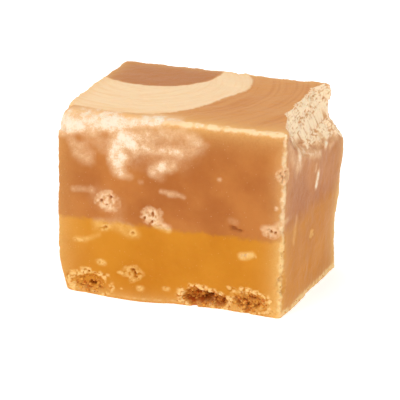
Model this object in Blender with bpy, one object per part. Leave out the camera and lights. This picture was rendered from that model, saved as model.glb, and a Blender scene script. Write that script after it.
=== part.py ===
# A hand-cut piece of two-layer fudge: a caramel layer on a golden base layer.
# Sizes are in millimetres and become metres when a mesh is made. X runs along the front face,
# Y into the depth and Z up. The origin is on the resting surface, under the middle of the piece.
#
# Each layer starts as a cube that is cut into cells, with finer cells where the fudge is broken.
# The cells then take the form of the piece: an uneven block with worn edges, a broken upper
# corner, crumbly hollows at the foot of the front and small air holes.

import bmesh
import bpy
import numpy as np

MM = 0.001

# Driving dimensions of the piece
LENGTH = 30.0
DEPTH = 21.6
HEIGHT = 24.7
BASE_LAYER_HEIGHT = 10.25
LAYER_GAP = 0.3

# The foot of the front bulges forward, so the whole piece is set back to stand centred
SET_BACK = 0.42

# How far the eight corners stand from a true block, as (x, y, z) for each (x side, y side, z side).
# The piece was cut by hand, so its back leans out and its top rises towards the back.
CORNER_SHIFT = np.array(
    [
        [[(-0.95, -1.0, 0.0), (-1.25, -1.0, -0.05)], [(-0.2, -0.9, 0.0), (-0.4, 1.1, 0.65)]],
        [[(-0.5, -1.4, 0.0), (-0.35, -1.0, -0.1)], [(1.25, -1.4, 0.0), (0.75, 1.1, 0.35)]],
    ]
)

# Worn edges: the usual rounding and how much it varies, and the softer left part of the front top
# edge, which lies within the reach of both faces and hardens along the span
EDGE_ROUNDING = 0.4
ROUNDING_CHANGE = 0.55
ROUNDING_PATCH = 1.6
SOFT_EDGE_ROUNDING = 1.3
SOFT_EDGE_SPAN = (-9.0, 1.0)
SOFT_EDGE_REACH = 3.0

# Swellings and hollows of whole faces: centre, reach (one number for each axis), and height
SWELLINGS = (
    ((-6.0, -12.0, 0.0), (5.5, 6.0, 4.0), 0.85),  # foot of the front
    ((15.0, 10.5, 5.5), (7.0, 6.0, 4.0), -0.5),  # waist at the back right
    ((15.0, 11.5, 17.0), (5.0, 5.0, 3.5), 0.4),
    ((6.0, -12.0, 0.0), (5.5, 6.0, 2.2), -0.4),  # foot of the front, over the crumbly hollows
    ((5.0, -12.0, 24.7), (5.0, 4.0, 2.5), -0.1),  # sag of the front top edge
    ((-4.0, 11.0, 14.0), (9.0, 6.0, 7.0), -0.35),
    ((-16.0, 1.0, 12.0), (5.0, 8.0, 8.0), 0.3),
)

# Broken and worn surfaces: points beyond every face of one break are pressed back on to it. Each
# face is (point on it, outward direction). A break fades out past its front and back ends along Y,
# by its two rates a millimetre, and crumbs of one size and height cover it.
WHOLE_DEPTH = (-DEPTH, DEPTH)
TOP_CORNER_BREAK = {
    "faces": (((12.15, 0.0, 24.7), (0.95, 0.0, 0.31)), ((13.3, 0.0, 21.2), (0.74, 0.0, 0.67))),
    "ends": (-4.0, 8.8),
    "fade": (0.3, 0.45),
    "crumb": 1.3,
    "height": 0.7,
}
BACK_NOTCH = {  # where the broken corner ends at the back
    "faces": (((13.3, 11.3, 21.6), (0.95, 0.3, -0.2)), ((14.05, 11.3, 20.1), (0.95, 0.3, 0.68))),
    "ends": WHOLE_DEPTH,
    "fade": (0.0, 0.0),
    "crumb": 1.3,
    "height": 0.4,
}
FOOT_CORNER_WEAR = {
    "faces": (((-15.7, -11.8, 3.2), (-0.88, -0.38, -0.28)),),
    "ends": WHOLE_DEPTH,
    "fade": (0.0, 0.0),
    "crumb": 1.8,
    "height": 0.12,
}
TOP_CORNER_WEAR = {
    "faces": (((-15.75, -11.9, 22.9), (-0.72, -0.3, 0.62)),),
    "ends": WHOLE_DEPTH,
    "fade": (0.0, 0.0),
    "crumb": 1.8,
    "height": 0.12,
}
BACK_FOOT_BREAK = {
    "faces": (((-14.2, 9.6, 1.2), (-0.58, 0.62, -0.53)),),
    "ends": WHOLE_DEPTH,
    "fade": (0.0, 0.0),
    "crumb": 1.3,
    "height": 0.5,
}
BREAKS = (TOP_CORNER_BREAK, BACK_NOTCH, FOOT_CORNER_WEAR, TOP_CORNER_WEAR, BACK_FOOT_BREAK)

# Hollows that open in a face: centre, reach (x, y, z), depth and how lumpy the floor is
HOLLOWS = (
    ((3.2, -11.8, 1.35), (2.1, 3.0, 1.65), 2.2, 0.6),  # foot of the front, right
    ((5.4, -11.8, 1.1), (2.0, 3.0, 1.1), 1.9, 0.6),
    ((10.2, -11.8, 1.75), (3.1, 3.0, 1.9), 1.3, 0.8),
    ((-11.6, -11.8, 1.0), (2.5, 3.0, 1.5), 0.8, 0.6),  # foot of the front, left
    ((-9.2, -11.8, 12.95), (1.5, 2.0, 1.1), 0.55, 0.5),
    ((-2.9, -11.8, 11.65), (1.4, 2.0, 1.2), 0.55, 0.5),
    ((-4.9, -11.8, 3.5), (1.3, 2.0, 1.2), 0.4, 0.4),
    ((13.2, -11.8, 11.5), (1.2, 2.0, 0.8), 0.5, 0.4),
    ((14.7, -11.9, 19.0), (1.1, 1.3, 0.9), 0.55, 0.3),  # nicks in the front right edge
    ((14.6, -11.9, 4.7), (1.1, 1.1, 1.9), 0.55, 0.3),
    ((6.5, 11.5, 14.5), (1.5, 2.5, 1.1), 0.8, 0.5),  # back
    ((-8.0, 11.0, 4.0), (1.4, 2.5, 1.0), 0.7, 0.5),
    ((-15.9, 3.0, 15.5), (2.5, 1.4, 1.1), 0.7, 0.5),  # left
    ((-15.6, -4.0, 3.5), (2.5, 1.5, 1.0), 0.8, 0.5),
)

# Small deep air holes: centre, reach (x, y, z) and depth
AIR_HOLES = (
    ((-8.74, -11.8, 13.45), (0.5, 2.0, 0.45), 0.9),
    ((-10.05, -11.8, 13.05), (0.42, 2.0, 0.45), 0.7),
    ((-2.7, -11.8, 11.4), (0.5, 2.0, 0.5), 0.9),
    ((-9.4, -11.8, 9.3), (0.45, 2.0, 0.45), 0.7),
    ((-5.65, -11.8, 8.9), (0.45, 2.0, 0.45), 0.7),
    ((-5.5, -11.8, 4.1), (0.45, 2.0, 0.5), 0.8),
    ((-5.0, -11.8, 3.3), (0.4, 2.0, 0.7), 0.8),
    ((8.3, -11.8, 11.3), (1.0, 2.0, 0.42), 0.9),
    ((12.75, -11.8, 11.55), (0.42, 2.0, 0.42), 0.8),
    ((13.6, -11.8, 11.5), (0.4, 2.0, 0.42), 0.8),
    ((-11.05, -11.8, 1.55), (0.55, 2.0, 0.5), 0.9),
    ((10.2, -11.8, 1.1), (0.9, 2.0, 0.6), 0.9),
)

# How far noise shifts the outline of a hollow, as a share of its reach, and the size of that noise
OUTLINE_JITTER = 0.22
OUTLINE_PATCH = 0.9
HOLLOW_CRUMB = 0.9

# Relief of the surfaces: (size, height)
WAVES = (8.0, 0.28)
RIPPLES = (1.7, 0.1)

# Colours and finish
GOLDEN = (0.68, 0.27, 0.03)
CARAMEL = (0.55, 0.21, 0.07)
ROUGHNESS = 0.45

# Cells of a layer along X and Y, and their height. Each level of detail halves the cells: ragged
# upright edges take one level, broken surfaces and hollows two, and air holes three.
CELLS_LONG = 24
CELLS_DEEP = 17
CELL_HEIGHT = 1.25
RAGGED_EDGE_WIDTH = 1.0
EDGE_DETAIL = 1
BROKEN_DETAIL = 2
HOLLOW_DETAIL = 2
AIR_HOLE_DETAIL = 3


def scatter(cells, seed):
    """A number from 0 to 1 for each whole-number cell, the same on every run."""
    x, y, z = (cells[..., axis].astype(np.int64) for axis in range(3))
    mixed = (x * 73856093) ^ (y * 19349663) ^ (z * 83492791) ^ (seed * 39916801)
    mixed = ((mixed ^ (mixed >> 13)) * 1274126177) & 0xFFFFFFFF
    mixed = ((mixed ^ (mixed >> 15)) * 2246822519) & 0xFFFFFFFF
    return ((mixed ^ (mixed >> 16)) & 0xFFFFFF) / float(0xFFFFFF)


def soft_noise(points, seed):
    """Smooth noise from -1 to 1, with one random value at each whole-number corner."""
    base = np.floor(points)
    part = points - base
    blend = part * part * part * (part * (part * 6 - 15) + 10)
    total = np.zeros(len(points))
    for corner in np.ndindex(2, 2, 2):
        step = np.array(corner)
        weight = np.prod(np.where(step == 1, blend, 1 - blend), axis=1)
        total += weight * scatter(base + step, seed)
    return total * 2 - 1


def cloudy_noise(points, seed, octaves=3):
    """Soft noise at several scales, each half as large and half as strong as the one before."""
    total = np.zeros(len(points))
    for octave in range(octaves):
        total += soft_noise(points * 2.0**octave, seed + octave) * 0.5**octave
    return total / (2 - 0.5 ** (octaves - 1))


def crumb_noise(points, seed):
    """Rounded crumbs from 0 in the cracks to 1 on their tops: one minus the distance to the nearest seed."""
    base = np.floor(points)
    nearest = np.full(len(points), 9.0)
    for neighbour in np.ndindex(3, 3, 3):
        cell = base + np.array(neighbour) - 1
        middle = cell + np.stack([scatter(cell, seed + axis) for axis in range(3)], axis=1)
        nearest = np.minimum(nearest, np.linalg.norm(points - middle, axis=1))
    return np.clip(1 - nearest, 0, 1)


def smooth_step(value, start, end):
    share = np.clip((value - start) / (end - start), 0, 1)
    return share * share * (3 - 2 * share)


def closeness(points, centre, reach):
    """1 at the centre, falling to 0 at about the reach along each axis, with an uneven outline."""
    away = np.linalg.norm((points - np.array(centre)) / np.array(reach), axis=1)
    jitter = OUTLINE_JITTER * soft_noise(points / OUTLINE_PATCH, 51)
    return np.clip(1 - away + jitter * smooth_step(away, 0.0, 0.5), 0, 1)


def at_corners(share):
    """Places in the uneven block for shares (0 to 1) along its three sides."""
    box = (share - (0.5, 0.5, 0.0)) * (LENGTH, DEPTH, HEIGHT)
    for corner in np.ndindex(2, 2, 2):
        weight = np.prod(np.where(np.array(corner) == 1, share, 1 - share), axis=1)
        box = box + weight[:, None] * CORNER_SHIFT[corner]
    return box


def edge_softness(flat):
    """1 on the soft part of the front top edge and 0 elsewhere, for places in the unrounded block."""
    at_front_top = (flat[:, 1] < SOFT_EDGE_REACH) & (flat[:, 2] > HEIGHT - SOFT_EDGE_REACH)
    return (1 - smooth_step(flat[:, 0] - LENGTH / 2, *SOFT_EDGE_SPAN)) * at_front_top


def rounded_skin(share):
    """Points on the skin of the block with its edges rounded, and their outward directions."""
    size = np.array([LENGTH, DEPTH, HEIGHT])
    flat = share * size
    radius = EDGE_ROUNDING + (SOFT_EDGE_ROUNDING - EDGE_ROUNDING) * edge_softness(flat)
    radius *= 1 + ROUNDING_CHANGE * cloudy_noise(flat / ROUNDING_PATCH, 11)
    inner = np.minimum(np.maximum(flat, radius[:, None] * (1, 1, 0)), size - radius[:, None])
    reach = flat - inner
    outward = reach / np.maximum(np.linalg.norm(reach, axis=1, keepdims=True), 1e-9)
    return at_corners((inner + outward * radius[:, None]) / size), outward


def relief(points):
    """How far the surface stands out from the plain block, in millimetres."""
    height = WAVES[1] * cloudy_noise(points / WAVES[0], 3)
    height += RIPPLES[1] * cloudy_noise(points / RIPPLES[0], 5)
    for centre, reach, swell in SWELLINGS:
        near = (points - np.array(centre)) / np.array(reach)
        height += swell * np.exp(-np.sum(near * near, axis=1))
    for centre, reach, depth, lumpiness in HOLLOWS:
        near = smooth_step(closeness(points, centre, reach), 0.0, 0.4)
        height -= near * (depth - lumpiness * crumb_noise(points / HOLLOW_CRUMB, 21))
    for centre, reach, depth in AIR_HOLES:
        height -= depth * smooth_step(closeness(points, centre, reach), 0.0, 0.5)
    return height


def beyond_break(points, broken):
    """How far the points are past a broken surface, and the direction that leads back to it."""
    depth = np.full(len(points), 99.0)
    direction = np.zeros_like(points)
    for place, outward in broken["faces"]:
        normal = np.array(outward) / np.linalg.norm(outward)
        past = (points - np.array(place)) @ normal
        direction = np.where((past < depth)[:, None], normal, direction)
        depth = np.minimum(depth, past)
    first, last = broken["ends"]
    front_rate, back_rate = broken["fade"]
    depth -= front_rate * np.maximum(first - points[:, 1], 0)
    depth -= back_rate * np.maximum(points[:, 1] - last, 0)
    landing = (points - direction * np.maximum(depth, 0)[:, None]) / broken["crumb"]
    crumbs = crumb_noise(landing, 31) + 0.4 * crumb_noise(landing * 2.3, 41)
    return depth - broken["height"] * (crumbs - 0.5), direction


def piece_skin(share):
    """The piece's outer surface for shares along the block's three sides."""
    points, outward = rounded_skin(share)
    points = points + outward * relief(points)[:, None]
    for broken in BREAKS:
        past, direction = beyond_break(points, broken)
        points = points - direction * np.maximum(past, 0)[:, None]
    return points


def flat_cut(share, level):
    """A level face right through the piece: each point lies between the axis and the skin."""
    sideways = np.max(np.abs(share[:, :2] * 2 - 1), axis=1, keepdims=True)
    rim = np.array(share)
    rim[:, :2] = (share[:, :2] - 0.5) / np.maximum(sideways, 1e-6) + 0.5
    points = piece_skin(rim) * np.hstack([sideways, sideways, np.ones_like(sideways)])
    points[:, 2] = level
    return points


def cut_into_cells(cells_high):
    """A unit cube cut into cells."""
    bm = bmesh.new()
    bmesh.ops.create_cube(bm, size=1.0)
    bmesh.ops.translate(bm, vec=(0.5, 0.5, 0.5), verts=bm.verts)
    for axis, cells in enumerate((CELLS_LONG, CELLS_DEEP, cells_high)):
        along = [e for e in bm.edges if abs(e.verts[0].co[axis] - e.verts[1].co[axis]) > 0.5]
        bmesh.ops.subdivide_edges(bm, edges=along, cuts=cells - 1, use_grid_fill=True)
    return bm


def is_rough(share, level):
    """Whether the cells at these shares of the block are to be halved at this level."""
    points = at_corners(share)
    rough = np.zeros(len(points), bool)
    if level <= EDGE_DETAIL:
        from_edge = np.minimum(share[:, :2], 1 - share[:, :2]) * (LENGTH, DEPTH)
        rough |= np.all(from_edge < RAGGED_EDGE_WIDTH, axis=1)
        rough |= edge_softness(share * (LENGTH, DEPTH, HEIGHT)) > 0
    if level <= BROKEN_DETAIL:
        for broken in (TOP_CORNER_BREAK, BACK_NOTCH, BACK_FOOT_BREAK):
            rough |= beyond_break(points, broken)[0] > 0
    margin = 0.7 * CELL_HEIGHT / 2 ** (level - 1)
    for holes, detail in ((HOLLOWS, HOLLOW_DETAIL), (AIR_HOLES, AIR_HOLE_DETAIL)):
        for centre, reach, *_ in holes if level <= detail else ():
            away = (points - np.array(centre)) / (np.array(reach) + margin)
            rough |= np.linalg.norm(away, axis=1) < 1.0
    return rough


def layer_shares(cube, low, high):
    """Shares of the whole block for points of a layer's own cube, between two heights."""
    share = np.array(cube)
    share[:, 2] = (low + (high - low) * cube[:, 2]) / HEIGHT
    return share


def refine(bm, low, high):
    """Halves the cells of the broken places, level by level."""
    for level in range(1, AIR_HOLE_DETAIL + 1):
        centres = np.array([face.calc_center_median() for face in bm.faces])
        rough = is_rough(layer_shares(centres, low, high), level)
        edges = {edge for face, halved in zip(bm.faces, rough) if halved for edge in face.edges}
        bmesh.ops.subdivide_edges(bm, edges=list(edges), cuts=1, use_grid_fill=True)
    bmesh.ops.triangulate(bm, faces=bm.faces)


def merge_level_faces(bm, level):
    """Joins the cells of the level face at this height into one face."""
    flat = {f for f in bm.faces if all(abs(v.co.z - level * MM) < 1e-9 for v in f.verts)}
    inner = {e for f in flat for e in f.edges if all(side in flat for side in e.link_faces)}
    bmesh.ops.dissolve_edges(bm, edges=list(inner), use_verts=True)


def make_layer(name, low, high, level_ends, colour):
    """One closed layer of the piece. Its level ends are 0 for the lower one and 1 for the upper one."""
    bm = cut_into_cells(round((high - low) / CELL_HEIGHT))
    refine(bm, low, high)
    cube = np.array([v.co for v in bm.verts])
    share = layer_shares(cube, low, high)
    points = piece_skin(share)
    for end in level_ends:
        at_end = np.abs(cube[:, 2] - end) < 1e-6
        points[at_end] = flat_cut(share[at_end], (low, high)[end])
    for vert, place in zip(bm.verts, (points + (0.0, SET_BACK, 0.0)) * MM):
        vert.co = place
    for end in level_ends:
        merge_level_faces(bm, (low, high)[end])
    bmesh.ops.triangulate(bm, faces=bm.faces)
    bmesh.ops.recalc_face_normals(bm, faces=bm.faces)
    mesh = bpy.data.meshes.new(name)
    bm.to_mesh(mesh)
    bm.free()
    mesh.shade_smooth()
    mesh.set_sharp_from_angle(angle=0.9)
    mesh.materials.append(fudge_material(name, colour))
    bpy.context.scene.collection.objects.link(bpy.data.objects.new(name, mesh))


def fudge_material(name, colour):
    material = bpy.data.materials.new(name)
    material.use_nodes = True
    shader = material.node_tree.nodes["Principled BSDF"]
    shader.inputs["Base Color"].default_value = (*colour, 1.0)
    shader.inputs["Roughness"].default_value = ROUGHNESS
    shader.inputs["Metallic"].default_value = 0.0
    return material


def main():
    for old in list(bpy.data.objects):
        bpy.data.objects.remove(old)
    below = BASE_LAYER_HEIGHT - LAYER_GAP / 2
    above = BASE_LAYER_HEIGHT + LAYER_GAP / 2
    make_layer("base_layer", 0.0, below, (0, 1), GOLDEN)
    make_layer("caramel_layer", above, HEIGHT, (0,), CARAMEL)


main()
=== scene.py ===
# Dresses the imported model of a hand-cut piece of two-layer fudge: the same uneven block with its fine
# crumbs, pores, dry sugar bloom and cream swirl, on a pale floor under soft studio light.
# Sizes are in millimetres and become metres when a mesh is made. X runs along the front face,
# Y into the depth and Z up through the layers.

from functools import partial

import bpy
import mathutils
import numpy as np
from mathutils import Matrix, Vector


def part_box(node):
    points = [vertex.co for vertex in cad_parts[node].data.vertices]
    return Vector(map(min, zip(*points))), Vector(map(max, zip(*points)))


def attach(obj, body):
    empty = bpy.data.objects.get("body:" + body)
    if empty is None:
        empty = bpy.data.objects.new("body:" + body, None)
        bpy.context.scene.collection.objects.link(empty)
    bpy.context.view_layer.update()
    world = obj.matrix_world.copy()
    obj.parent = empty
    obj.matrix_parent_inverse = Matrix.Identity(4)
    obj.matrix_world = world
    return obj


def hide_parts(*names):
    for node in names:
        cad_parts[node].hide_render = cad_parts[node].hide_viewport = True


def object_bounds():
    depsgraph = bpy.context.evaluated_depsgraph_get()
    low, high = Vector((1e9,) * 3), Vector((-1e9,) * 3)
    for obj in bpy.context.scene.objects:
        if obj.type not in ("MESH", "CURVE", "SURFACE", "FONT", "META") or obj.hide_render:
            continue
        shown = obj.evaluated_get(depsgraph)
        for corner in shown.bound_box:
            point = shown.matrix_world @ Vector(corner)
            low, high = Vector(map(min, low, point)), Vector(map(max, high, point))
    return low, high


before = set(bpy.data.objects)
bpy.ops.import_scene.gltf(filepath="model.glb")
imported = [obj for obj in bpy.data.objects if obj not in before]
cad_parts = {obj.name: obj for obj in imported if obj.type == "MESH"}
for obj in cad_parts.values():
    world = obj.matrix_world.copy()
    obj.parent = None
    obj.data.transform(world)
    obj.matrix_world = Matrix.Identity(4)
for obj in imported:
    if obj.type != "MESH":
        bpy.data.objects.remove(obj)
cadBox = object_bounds()
mm = 0.001
farAway = 99.0

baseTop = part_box("base_layer")[1].z / mm
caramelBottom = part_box("caramel_layer")[0].z / mm

# The uneven block: corners are shifted as (x, y, z) for each (x side, y side, z side)
block = {
    "length": 30.0,
    "depth": 21.6,
    "height": 24.7,
    "setBack": 0.42,
    "cornerShift": [
        [[(-0.95, -1.0, 0.0), (-1.25, -1.0, -0.05)], [(-0.2, -0.9, 0.0), (-0.4, 1.1, 0.65)]],
        [[(-0.5, -1.4, 0.0), (-0.35, -1.0, -0.1)], [(1.25, -1.4, 0.0), (0.75, 1.1, 0.35)]],
    ],
    "edgeRounding": 0.4,
    "roundingChange": 0.55,
    "roundingPatch": 1.6,
    "softEdgeRounding": 1.5,  # the left part of the front top edge is softer
    "softEdgeSpan": (-9.0, 1.0),
    "softEdgeReach": 3.0,
    "turnReach": 1.2,  # the relief's direction turns this far from an edge
    "sharpAngle": 1.2,  # edges that bend more than this many radians stay sharp
    "footTuck": 0.08,  # how far the wall draws in at the foot
    "footReach": 0.4,
    "footLedge": 0.9,  # hollows are shallower below this height
    "middle": (baseTop + caramelBottom) / 2,  # height where the layers meet
    "middleWave": (3.5, 0.16),
}
blockSize = np.array([block["length"], block["depth"], block["height"]])

# The corners of the room that the piece keeps to
room = np.array(cadBox) / mm + np.array([(0.005, 0.005, 0.0), (-0.005, -0.005, -0.005)])

# Each face's two axes, its own axis, and where it stands before the block is set back
faces = {
    "front": (0, 2, 1, -11.8),
    "right": (1, 2, 0, 15.0),
    "back": (0, 2, 1, 11.6),
    "left": (1, 2, 0, -15.9),
    "top": (0, 1, 2, 24.7),
}

# Cell sizes along each side, as (place, size): finer at edges, pores and breaks
cells = {
    "goldenAlong": (
        (0.0, 0.12), (1.2, 0.14), (6.3, 0.14), (6.8, 0.17), (8.4, 0.15), (14.0, 0.17),
        (16.0, 0.17), (16.5, 0.11), (28.0, 0.11), (30.0, 0.12),
    ),
    "goldenDeep": ((0.0, 0.12), (1.2, 0.2), (20.4, 0.2), (21.6, 0.14)),
    "goldenUp": ((0.0, 0.085), (3.6, 0.09), (4.4, 0.14), (10.3, 0.14)),
    "caramelAlong": (
        (0.0, 0.12), (1.0, 0.19), (4.3, 0.19), (4.6, 0.125), (7.1, 0.125), (7.5, 0.19),
        (10.6, 0.19), (11.0, 0.125), (14.0, 0.125), (14.4, 0.2), (25.6, 0.2), (26.0, 0.13),
        (28.2, 0.13), (28.8, 0.18), (29.4, 0.18), (30.0, 0.13),
    ),
    "caramelDeep": ((0.0, 0.12), (1.0, 0.16), (20.4, 0.155), (21.6, 0.13)),
    "caramelUp": ((0.0, 0.13), (4.0, 0.13), (4.5, 0.2), (7.6, 0.2), (8.2, 0.125), (14.5, 0.115)),
    "rings": (0.97, 0.9, 0.75, 0.5, 0.25),  # of the level faces, as shares of their outline
}

# Waves of the cut faces: size, height, seed and octaves
waves = (
    (8.0, 0.28, 3, 3),
    (1.7, 0.1, 5, 3),
    (0.6, 0.03, 9, 2),
)

# Swellings and hollows of whole faces: centre, reach and height
swellings = (
    ((-6.0, -12.0, 0.0), (5.5, 6.0, 4.0), 0.85),
    ((15.0, 10.5, 5.5), (7.0, 6.0, 4.0), -0.5),
    ((15.6, 11.0, 5.0), (1.0, 1.0, 0.7), 0.3),
    ((15.0, 11.5, 17.0), (5.0, 5.0, 3.5), 0.38),
    ((6.0, -12.0, 0.0), (5.5, 6.0, 2.2), -0.4),
    ((5.0, -12.0, 24.7), (5.0, 4.0, 2.5), -0.12),
    ((-4.0, 11.0, 14.0), (9.0, 6.0, 7.0), -0.35),
    ((-16.0, 1.0, 12.0), (5.0, 8.0, 8.0), 0.3),
)

# Relief of a broken surface: how many of each kind go into a crumb's size, and how strong they are
breakRelief = {
    "lumps": 0.8,
    "lumpHeight": 0.7,
    "clouds": 1.5,
    "cloudHeight": 0.35,
    "grains": 3.6,
    "grainHeight": 0.14,
    "patches": 1.1,
    "patchTone": 0.25,
    "stretch": (1.0, 0.45, 1.2),  # crumbs lie flat, longer along Y than they are tall
    "dustWander": (0.8, 0.9),  # size and height of the waves in the dust's lower border
    "dustFade": 1.4,
}

# Where the fudge broke or wore off: (point, outward direction) for each face, softness of the border,
# size and height of the crumbs, and dustiness. The largest one also has its ends along Y, how fast it
# fades past each, and how far down the dust reaches, as (y, z).
breaks = {
    "topCorner": {
        "faces": (((12.15, 0.0, 24.7), (0.95, 0.0, 0.31)), ((13.3, 0.0, 21.2), (0.74, 0.0, 0.67))),
        "soft": 0.25, "crumb": 1.15, "height": 0.55, "dusty": 1.0,
        "ends": (-4.0, 8.8),
        "fade": (0.3, 0.45),
        "dustDownTo": ((-8.9, 23.2), (-5.0, 21.2), (0.5, 19.3), (7.2, 18.8), (11.3, 18.1)),
    },
    "backNotch": {  # where the broken corner ends at the back
        "faces": (((13.5, 11.3, 21.6), (0.95, 0.3, -0.2)), ((14.3, 11.3, 20.1), (0.95, 0.3, 0.68))),
        "soft": 0.2, "crumb": 1.15, "height": 0.4, "dusty": 1.0,
    },
    "footCorner": {
        "faces": (((-15.7, -11.8, 3.2), (-0.88, -0.38, -0.28)),),
        "soft": 0.7, "crumb": 1.8, "height": 0.12, "dusty": 0.0,
    },
    "topLeftCorner": {
        "faces": (((-15.75, -11.9, 22.9), (-0.72, -0.3, 0.62)),),
        "soft": 0.7, "crumb": 1.8, "height": 0.12, "dusty": 0.0,
    },
    "backFoot": {
        "faces": (((-14.2, 9.6, 1.2), (-0.58, 0.62, -0.53)),),
        "soft": 0.1, "crumb": 1.3, "height": 0.5, "dusty": 0.75,
    },
}


# Rows of x, z, half width, half height and more become centre, reach and more on the front
def onFront(reachIn, *rows):
    y = faces["front"][3]
    return tuple(((x, y, z), (wide, reachIn, high), *rest) for x, z, wide, high, *rest in rows)


# Hollows in a face: centre, reach, depth, lumpiness, and how pale and dry they are inside and round
# the rim
hollows = (
    *onFront(
        3.0,
        (3.1, 1.35, 2.1, 1.6, 2.0, 0.8, 0.12, 0.9),  # foot of the front, right
        (5.5, 1.2, 1.9, 1.25, 1.6, 0.7, 0.12, 0.85),
        (10.2, 1.6, 2.7, 1.5, 1.0, 0.9, 0.42, 0.85),
        (-11.4, 1.3, 2.8, 1.6, 0.5, 0.4, 0.1, 0.8),  # foot of the front, left
    ),
    *onFront(
        2.0,
        (-9.15, 12.95, 1.35, 1.2, 0.26, 0.22, 0.68, 0.42),  # crumbly pores
        (-3.05, 11.6, 1.3, 1.15, 0.26, 0.22, 0.7, 0.45),
        (-5.45, 3.65, 1.3, 0.95, 0.22, 0.22, 0.6, 0.42),
        (13.0, 11.55, 1.1, 0.7, 0.25, 0.25, 0.58, 0.4),
    ),
    ((1.3, 12.0, 25.2), (1.0, 1.0, 1.0), 0.4, 0.2, 0.0, 0.3),  # nick in the back top edge
    ((14.7, -11.9, 19.0), (1.1, 1.3, 0.9), 0.55, 0.3, 0.55, 0.5),  # nicks in the front right edge
    ((14.6, -11.9, 4.7), (0.9, 0.9, 1.6), 0.35, 0.2, 0.25, 0.3),
    ((6.5, 11.5, 14.5), (1.5, 2.5, 1.1), 0.7, 0.6, 0.9, 0.7),  # back
    ((-8.0, 11.0, 4.0), (1.4, 2.5, 1.0), 0.6, 0.6, 0.8, 0.7),
    ((-15.9, 3.0, 15.5), (2.5, 1.4, 1.1), 0.6, 0.6, 0.9, 0.7),  # left
    ((-15.6, -4.0, 3.5), (2.5, 1.5, 1.0), 0.7, 0.6, 0.7, 0.7),
)

# Shallow crumbly spots: x, z, half width, half height and depth
crumbSpots = {
    "dusty": 0.64,
    "places": onFront(
        2.0,
        (-1.9, 10.55, 0.9, 0.4, 0.08), (-0.9, 10.15, 0.5, 0.3, 0.05), (-9.4, 9.45, 0.75, 0.65, 0.1),
        (-5.7, 9.1, 0.65, 0.55, 0.1), (-12.9, 7.25, 0.9, 0.25, 0.04), (9.8, 8.0, 1.15, 0.5, 0.12),
        (13.5, 14.7, 0.45, 0.4, 0.1), (-9.85, 4.55, 0.65, 0.35, 0.08),
        (-11.8, 3.2, 0.8, 0.45, 0.12), (-7.0, 3.6, 0.7, 0.3, 0.06), (-4.25, 1.85, 0.55, 0.35, 0.1),
        (-0.9, 2.05, 0.45, 0.35, 0.1), (-6.85, 1.5, 0.35, 0.2, 0.06), (7.7, 3.2, 0.6, 0.4, 0.12),
        (-14.2, 2.1, 0.7, 0.5, 0.12), (13.3, 0.8, 0.9, 0.5, 0.1),
    ),
}

# Small air holes: x, z, half width, half height and depth
airHoles = onFront(
    2.0,
    (-8.74, 13.42, 0.3, 0.28, 0.28), (-10.05, 12.95, 0.22, 0.26, 0.22),
    (-9.25, 12.5, 0.18, 0.16, 0.15), (-2.95, 11.85, 0.2, 0.42, 0.25), (-4.05, 11.3, 0.2, 0.24, 0.2),
    (-3.1, 10.85, 0.2, 0.2, 0.18), (-9.38, 9.42, 0.24, 0.22, 0.25), (-5.65, 9.1, 0.26, 0.22, 0.25),
    (-5.5, 4.1, 0.28, 0.26, 0.35), (-5.2, 3.75, 0.26, 0.36, 0.4), (-4.95, 3.3, 0.24, 0.42, 0.4),
    (8.0, 11.4, 0.8, 0.4, 0.42), (8.75, 11.2, 0.55, 0.3, 0.34), (12.9, 11.6, 0.22, 0.24, 0.35),
    (13.5, 11.5, 0.22, 0.26, 0.35), (-11.1, 1.55, 0.6, 0.5, 0.9), (-11.6, 3.1, 0.18, 0.16, 0.25),
    (-9.9, 1.15, 0.4, 0.2, 0.35), (-12.6, 1.0, 0.4, 0.2, 0.35), (10.2, 1.2, 0.6, 0.35, 0.6),
    (8.75, 1.4, 0.3, 0.3, 0.5), (10.9, 2.2, 0.25, 0.2, 0.4), (9.6, 8.0, 0.18, 0.14, 0.2),
)

# Small pores drawn at random over the other faces
pores = {
    "seed": 17,
    "counts": {"left": 9, "back": 13, "right": 2},
    "spread": (0.08, 0.92),
    "reach": (0.3, 0.75),
    "reachIn": 2.5,
    "depth": (0.1, 0.35),
    "dusty": 0.6,
    "margin": 1.6,
}

# How ragged and how crumbly hollows are: heights, and sizes of the patches that they change in
hollowEdge = {
    "jitter": 0.22,
    "patch": 0.9,
    "fineJitter": 0.3,
    "finePatch": 0.38,
    "lumps": ((0.85, 0.55, 21), (0.5, 0.45, 23)),  # size, share and seed
    "grit": 0.42,
    "gritHeight": 0.14,
    "rimPatch": 0.8,  # size of the dry patches on a hollow's rim
}

# Patches and gaps of the pale rims, how far edges chip, and how fast the painted glow fades from an edge
edgeWearAndGlow = {
    "patch": 1.1,  # size of the patches where a rim is wider
    "gap": 0.55,  # size of the gaps in a rim
    "chipReach": 0.9,
    "glowFalloff": 1.15,
}

# Edges of the block by their two faces: strength and width of the pale dry rim, strength and reach
# of the painted glow, light coming through that is painted into the colour, and raggedness
edgeLooks = (
    ("front", "top", 1.25, 0.58, 1.0, 1.5, 0.14),
    ("front", "right", 1.0, 0.5, 0.65, 1.2, 0.45),
    ("front", "left", 0.35, 0.25, 0.35, 1.9, 0.12),
    ("front", "foot", 0.35, 0.25, 0.3, 0.7, 0.1),
    ("right", "foot", 1.1, 0.5, 0.5, 0.8, 0.12),
    ("right", "back", 1.15, 0.5, 1.6, 1.5, 0.15),
    ("right", "top", 0.6, 0.3, 0.4, 1.0, 0.15),
    ("back", "top", 1.2, 0.5, 0.6, 1.0, 0.12),
    ("left", "top", 0.75, 0.32, 0.6, 1.2, 0.15),
    ("back", "left", 0.6, 0.32, 0.6, 1.2, 0.2),
    ("back", "foot", 0.65, 0.25, 0.35, 0.7, 0.12),
    ("left", "foot", 0.65, 0.25, 0.35, 0.7, 0.12),
)

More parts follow.
